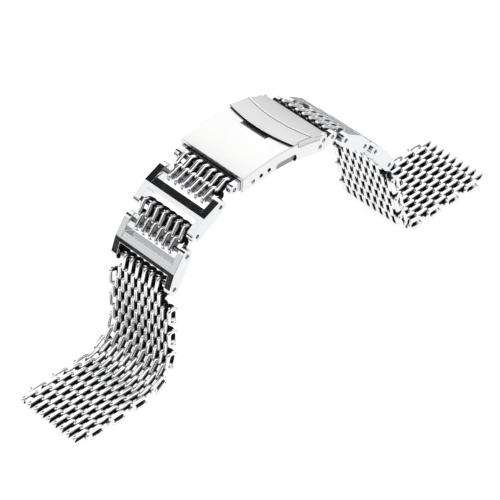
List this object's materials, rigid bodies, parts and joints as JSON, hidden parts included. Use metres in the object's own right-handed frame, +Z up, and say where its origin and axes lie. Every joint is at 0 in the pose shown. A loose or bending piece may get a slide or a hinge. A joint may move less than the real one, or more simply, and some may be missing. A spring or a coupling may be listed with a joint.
{
  "type": "mesh watch band",
  "caption": "Wire mesh watch band with hinged window frames and a closed double-locking fold-over clasp, standing in an arch on its two open ends.",
  "frame": {"origin": "centre of the bounding box in X and Y, on the surface the band stands on", "axes": "+X along the band towards the end beside the safety lock, +Y across the band, +Z up"},
  "size_m": [0.153, 0.024, 0.0574],
  "materials": {
    "brushed": "brushed",
    "polished": "polished",
    "mesh_wire": "polished wire",
    "pins": "turned"
  },
  "bodies": {
    "clasp": {"clasp_cover": "brushed", "safety_lock_pin": "pins", "cover_blade_pin": "pins", "adjust_spring_bar": "pins"},
    "safety_lock": {"safety_lock": "brushed"},
    "button_near": {"push_button_near": "pins"},
    "button_far": {"push_button_far": "pins"},
    "blade_outer": {"blade_outer": "polished", "blade_pin": "pins"},
    "blade_inner": {"blade_inner": "polished"},
    "connector_left": {"end_connector_left": "polished", "connector_pin_left": "pins"},
    "connector_right": {"end_connector_right": "polished", "connector_pins_right": "pins"},
    "block_left_1": {"block_left_1": "mesh_wire"},
    "block_left_2": {"block_left_2": "mesh_wire"},
    "frame_left_upper": {"frame_left_upper": "polished", "frame_pins_left_upper": "pins"},
    "block_left_3": {"block_left_3": "mesh_wire"},
    "block_left_4": {"block_left_4": "mesh_wire"},
    "frame_left_lower": {"frame_left_lower": "polished", "frame_pins_left_lower": "pins"},
    "row_left_1": {"row_left_1": "mesh_wire"},
    "row_left_2": {"row_left_2": "mesh_wire"},
    "row_left_3": {"row_left_3": "mesh_wire"},
    "row_left_4": {"row_left_4": "mesh_wire"},
    "row_left_5": {"row_left_5": "mesh_wire"},
    "row_left_6": {"row_left_6": "mesh_wire"},
    "row_left_7": {"row_left_7": "mesh_wire"},
    "row_left_8": {"row_left_8": "mesh_wire"},
    "row_left_9": {"row_left_9": "mesh_wire"},
    "row_left_10": {"row_left_10": "mesh_wire"},
    "row_left_11": {"row_left_11": "mesh_wire"},
    "row_left_12": {"row_left_12": "mesh_wire"},
    "row_left_13": {"row_left_13": "mesh_wire"},
    "row_left_14": {"row_left_14": "mesh_wire"},
    "end_rows_left": {"end_rows_left": "mesh_wire"},
    "block_right_1": {"block_right_1": "mesh_wire"},
    "block_right_2": {"block_right_2": "mesh_wire"},
    "frame_right_upper": {"frame_right_upper": "polished", "frame_pins_right_upper": "pins"},
    "block_right_3": {"block_right_3": "mesh_wire"},
    "block_right_4": {"block_right_4": "mesh_wire"},
    "frame_right_lower": {"frame_right_lower": "polished", "frame_pins_right_lower": "pins"},
    "row_right_1": {"row_right_1": "mesh_wire"},
    "row_right_2": {"row_right_2": "mesh_wire"},
    "row_right_3": {"row_right_3": "mesh_wire"},
    "row_right_4": {"row_right_4": "mesh_wire"},
    "row_right_5": {"row_right_5": "mesh_wire"},
    "row_right_6": {"row_right_6": "mesh_wire"},
    "row_right_7": {"row_right_7": "mesh_wire"},
    "row_right_8": {"row_right_8": "mesh_wire"},
    "row_right_9": {"row_right_9": "mesh_wire"},
    "row_right_10": {"row_right_10": "mesh_wire"},
    "row_right_11": {"row_right_11": "mesh_wire"},
    "row_right_12": {"row_right_12": "mesh_wire"},
    "row_right_13": {"row_right_13": "mesh_wire"},
    "row_right_14": {"row_right_14": "mesh_wire"},
    "end_rows_right": {"end_rows_right": "mesh_wire"}
  },
  "joints": [
    {"name": "lock_hinge", "type": "hinge", "parent": "clasp", "child": "safety_lock", "pos_m": [0.01052, 0, 0.05222], "axis": [0, 1, 0], "range_deg": [0, 95]},
    {"name": "button_near_press", "type": "slide", "parent": "clasp", "child": "button_near", "axis": [0, 1, 0], "range_m": [0, 0.0008], "stiffness_N_per_m": 400, "springref_m": -0.0002},
    {"name": "button_far_press", "type": "slide", "parent": "clasp", "child": "button_far", "axis": [0, -1, 0], "range_m": [0, 0.0008], "stiffness_N_per_m": 400, "springref_m": -0.0002},
    {"name": "cover_blade_hinge", "type": "hinge", "parent": "clasp", "child": "blade_outer", "pos_m": [0.00922, 0, 0.05081], "axis": [0, 1, 0], "range_deg": [-120, 0]},
    {"name": "blade_fold_hinge", "type": "hinge", "parent": "blade_outer", "child": "blade_inner", "pos_m": [-0.011, 0, 0.05121], "axis": [0, 1, 0], "range_deg": [0, 120]},
    {"name": "connector_left_hinge", "type": "hinge", "parent": "clasp", "child": "connector_left", "pos_m": [-0.01468, 0, 0.05304], "axis": [0, 1, 0], "range_deg": [-20, 3]},
    {"name": "connector_right_hinge", "type": "hinge", "parent": "blade_inner", "child": "connector_right", "pos_m": [0.01146, 0, 0.04905], "axis": [0, 1, 0], "range_deg": [-4, 20]},
    {"name": "block_left_1_hinge", "type": "hinge", "parent": "connector_left", "child": "block_left_1", "pos_m": [-0.02023, 0, 0.05286], "axis": [0, 1, 0], "range_deg": [-20.01, 69.99]},
    {"name": "block_left_2_hinge", "type": "hinge", "parent": "block_left_1", "child": "block_left_2", "pos_m": [-0.02294, 0, 0.05182], "axis": [0, -1, 0], "range_deg": [-40, 28]},
    {"name": "frame_left_upper_hinge", "type": "hinge", "parent": "block_left_2", "child": "frame_left_upper", "pos_m": [-0.02552, 0, 0.0505], "axis": [0, 1, 0], "range_deg": [-41, 49]},
    {"name": "block_left_3_hinge", "type": "hinge", "parent": "frame_left_upper", "child": "block_left_3", "pos_m": [-0.03361, 0, 0.04564], "axis": [0, -1, 0], "range_deg": [-63.5, 26.5]},
    {"name": "block_left_4_hinge", "type": "hinge", "parent": "block_left_3", "child": "block_left_4", "pos_m": [-0.0355, 0, 0.04344], "axis": [0, 1, 0], "range_deg": [-28, 40]},
    {"name": "frame_left_lower_hinge", "type": "hinge", "parent": "block_left_4", "child": "frame_left_lower", "pos_m": [-0.03714, 0, 0.04105], "axis": [0, -1, 0], "range_deg": [-50.5, 39.5]},
    {"name": "row_left_1_hinge", "type": "hinge", "parent": "frame_left_lower", "child": "row_left_1", "pos_m": [-0.04172, 0, 0.03279], "axis": [0, 1, 0], "range_deg": [-30, 60]},
    {"name": "row_left_2_hinge", "type": "hinge", "parent": "row_left_1", "child": "row_left_2", "pos_m": [-0.04242, 0, 0.02998], "axis": [0, -1, 0], "range_deg": [-46, 22]},
    {"name": "row_left_3_hinge", "type": "hinge", "parent": "row_left_2", "child": "row_left_3", "pos_m": [-0.04255, 0, 0.02623], "axis": [0, 1, 0], "range_deg": [-34, 34]},
    {"name": "row_left_4_hinge", "type": "hinge", "parent": "row_left_3", "child": "row_left_4", "pos_m": [-0.04268, 0, 0.02248], "axis": [0, -1, 0], "range_deg": [-34, 34]},
    {"name": "row_left_5_hinge", "type": "hinge", "parent": "row_left_4", "child": "row_left_5", "pos_m": [-0.04281, 0, 0.01873], "axis": [0, 1, 0], "range_deg": [-34, 34]},
    {"name": "row_left_6_hinge", "type": "hinge", "parent": "row_left_5", "child": "row_left_6", "pos_m": [-0.04294, 0, 0.01499], "axis": [0, -1, 0], "range_deg": [-34, 34]},
    {"name": "row_left_7_hinge", "type": "hinge", "parent": "row_left_6", "child": "row_left_7", "pos_m": [-0.04307, 0, 0.01124], "axis": [0, 1, 0], "range_deg": [-48, 20]},
    {"name": "row_left_8_hinge", "type": "hinge", "parent": "row_left_7", "child": "row_left_8", "pos_m": [-0.04411, 0, 0.00763], "axis": [0, -1, 0], "range_deg": [-14, 54]},
    {"name": "row_left_9_hinge", "type": "hinge", "parent": "row_left_8", "child": "row_left_9", "pos_m": [-0.04631, 0, 0.0046], "axis": [0, 1, 0], "range_deg": [-55, 13]},
    {"name": "row_left_10_hinge", "type": "hinge", "parent": "row_left_9", "child": "row_left_10", "pos_m": [-0.04945, 0, 0.00256], "axis": [0, -1, 0], "range_deg": [-15, 53]},
    {"name": "row_left_11_hinge", "type": "hinge", "parent": "row_left_10", "child": "row_left_11", "pos_m": [-0.05309, 0, 0.00165], "axis": [0, 1, 0], "range_deg": [-48, 20]},
    {"name": "row_left_12_hinge", "type": "hinge", "parent": "row_left_11", "child": "row_left_12", "pos_m": [-0.05684, 0, 0.00165], "axis": [0, -1, 0], "range_deg": [-34, 34]},
    {"name": "row_left_13_hinge", "type": "hinge", "parent": "row_left_12", "child": "row_left_13", "pos_m": [-0.06059, 0, 0.00165], "axis": [0, 1, 0], "range_deg": [-34, 34]},
    {"name": "row_left_14_hinge", "type": "hinge", "parent": "row_left_13", "child": "row_left_14", "pos_m": [-0.06434, 0, 0.00165], "axis": [0, -1, 0], "range_deg": [-34, 34]},
    {"name": "end_rows_left_hinge", "type": "hinge", "parent": "row_left_14", "child": "end_rows_left", "pos_m": [-0.06809, 0, 0.00165], "axis": [0, 1, 0], "range_deg": [-34, 34]},
    {"name": "block_right_1_hinge", "type": "hinge", "parent": "connector_right", "child": "block_right_1", "pos_m": [0.01473, 0, 0.05042], "axis": [0, 1, 0], "range_deg": [-76.01, 13.99]},
    {"name": "block_right_2_hinge", "type": "hinge", "parent": "block_right_1", "child": "block_right_2", "pos_m": [0.01711, 0, 0.04876], "axis": [0, -1, 0], "range_deg": [-28, 40]},
    {"name": "frame_right_upper_hinge", "type": "hinge", "parent": "block_right_2", "child": "frame_right_upper", "pos_m": [0.0193, 0, 0.04685], "axis": [0, 1, 0], "range_deg": [-43.5, 46.5]},
    {"name": "block_right_3_hinge", "type": "hinge", "parent": "frame_right_upper", "child": "block_right_3", "pos_m": [0.02658, 0, 0.04085], "axis": [0, -1, 0], "range_deg": [-41.5, 48.5]},
    {"name": "block_right_4_hinge", "type": "hinge", "parent": "block_right_3", "child": "block_right_4", "pos_m": [0.0287, 0, 0.03887], "axis": [0, 1, 0], "range_deg": [-40, 28]},
    {"name": "frame_right_lower_hinge", "type": "hinge", "parent": "block_right_4", "child": "frame_right_lower", "pos_m": [0.03061, 0, 0.03668], "axis": [0, -1, 0], "range_deg": [-40, 50]},
    {"name": "row_right_1_hinge", "type": "hinge", "parent": "frame_right_lower", "child": "row_right_1", "pos_m": [0.03615, 0, 0.02905], "axis": [0, 1, 0], "range_deg": [-56, 34]},
    {"name": "row_right_2_hinge", "type": "hinge", "parent": "row_right_1", "child": "row_right_2", "pos_m": [0.03738, 0, 0.02642], "axis": [0, -1, 0], "range_deg": [-22, 46]},
    {"name": "row_right_3_hinge", "type": "hinge", "parent": "row_right_2", "child": "row_right_3", "pos_m": [0.03822, 0, 0.02276], "axis": [0, 1, 0], "range_deg": [-34, 34]},
    {"name": "row_right_4_hinge", "type": "hinge", "parent": "row_right_3", "child": "row_right_4", "pos_m": [0.03907, 0, 0.01911], "axis": [0, -1, 0], "range_deg": [-34, 34]},
    {"name": "row_right_5_hinge", "type": "hinge", "parent": "row_right_4", "child": "row_right_5", "pos_m": [0.03991, 0, 0.01546], "axis": [0, 1, 0], "range_deg": [-34, 34]},
    {"name": "row_right_6_hinge", "type": "hinge", "parent": "row_right_5", "child": "row_right_6", "pos_m": [0.04075, 0, 0.0118], "axis": [0, -1, 0], "range_deg": [-34, 34]},
    {"name": "row_right_7_hinge", "type": "hinge", "parent": "row_right_6", "child": "row_right_7", "pos_m": [0.0416, 0, 0.00815], "axis": [0, 1, 0], "range_deg": [-29, 39]},
    {"name": "row_right_8_hinge", "type": "hinge", "parent": "row_right_7", "child": "row_right_8", "pos_m": [0.04276, 0, 0.00458], "axis": [0, -1, 0], "range_deg": [-66, 2]},
    {"name": "row_right_9_hinge", "type": "hinge", "parent": "row_right_8", "child": "row_right_9", "pos_m": [0.04563, 0, 0.00217], "axis": [0, 1, 0], "range_deg": [-2, 66]},
    {"name": "row_right_10_hinge", "type": "hinge", "parent": "row_right_9", "child": "row_right_10", "pos_m": [0.04934, 0, 0.00165], "axis": [0, -1, 0], "range_deg": [-42, 26]},
    {"name": "row_right_11_hinge", "type": "hinge", "parent": "row_right_10", "child": "row_right_11", "pos_m": [0.05309, 0, 0.00165], "axis": [0, 1, 0], "range_deg": [-34, 34]},
    {"name": "row_right_12_hinge", "type": "hinge", "parent": "row_right_11", "child": "row_right_12", "pos_m": [0.05684, 0, 0.00165], "axis": [0, -1, 0], "range_deg": [-34, 34]},
    {"name": "row_right_13_hinge", "type": "hinge", "parent": "row_right_12", "child": "row_right_13", "pos_m": [0.06059, 0, 0.00165], "axis": [0, 1, 0], "range_deg": [-34, 34]},
    {"name": "row_right_14_hinge", "type": "hinge", "parent": "row_right_13", "child": "row_right_14", "pos_m": [0.06434, 0, 0.00165], "axis": [0, -1, 0], "range_deg": [-34, 34]},
    {"name": "end_rows_right_hinge", "type": "hinge", "parent": "row_right_14", "child": "end_rows_right", "pos_m": [0.06809, 0, 0.00165], "axis": [0, 1, 0], "range_deg": [-34, 34]}
  ],
  "couplings": [
    {"joint": "blade_fold_hinge", "follows": "cover_blade_hinge", "ratio": -1}
  ]
}
